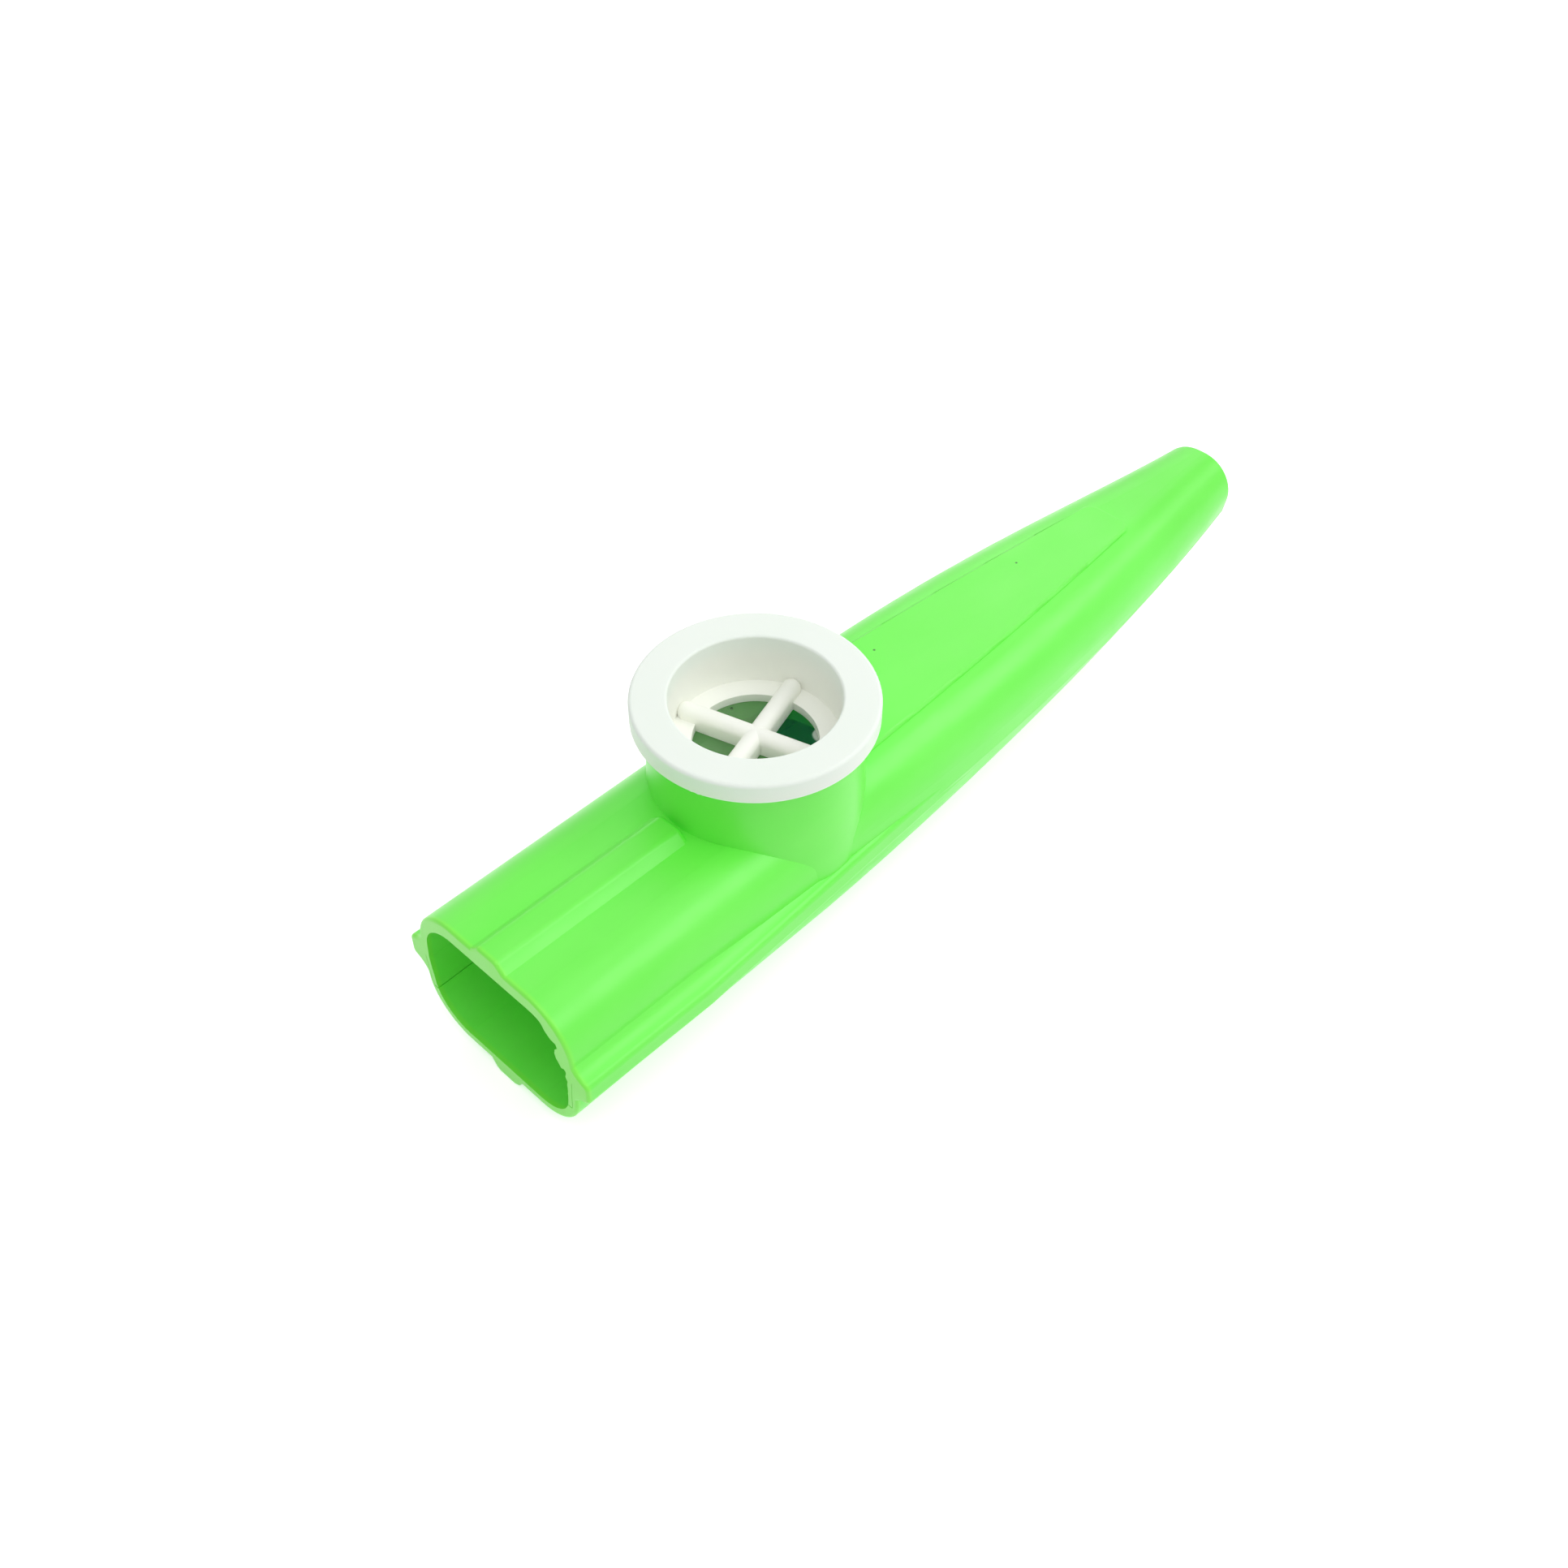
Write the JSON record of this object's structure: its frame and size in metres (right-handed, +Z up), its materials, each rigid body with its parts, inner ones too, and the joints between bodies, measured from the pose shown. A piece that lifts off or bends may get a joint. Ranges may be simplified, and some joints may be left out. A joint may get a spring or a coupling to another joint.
{
  "type": "kazoo",
  "caption": "Tapered moulded kazoo: lapped half shells with a round turret, and a push-in cap with a cross-barred hole that holds down a thin film, which buzzes when one hums into the wide end.",
  "frame": {"origin": "on the resting plane under the bottom rib, at the middle of the length and of the width", "axes": "+X from the wide mouth to the narrow tip, +Z up through the turret's cap, +Y to the left when facing the tip"},
  "size_m": [0.12, 0.0274, 0.0298],
  "materials": {
    "green_plastic": "glossy moulded bright green",
    "white_plastic": "satin moulded white",
    "clear_film": "hazy clear film"
  },
  "bodies": {
    "body": {"upper_shell": "green_plastic", "lower_shell": "green_plastic"},
    "cap": {"resonator_cap": "white_plastic"},
    "film": {"membrane": "clear_film"}
  },
  "joints": [
    {"name": "cap_lift", "type": "slide", "parent": "body", "child": "cap", "axis": [0, 0, 1], "range_m": [0, 0.025]},
    {"name": "film_lift", "type": "slide", "parent": "body", "child": "film", "axis": [0, 0, 1], "range_m": [0, 0.0125]}
  ],
  "couplings": [
    {"joint": "film_lift", "follows": "cap_lift", "ratio": 0.5}
  ]
}
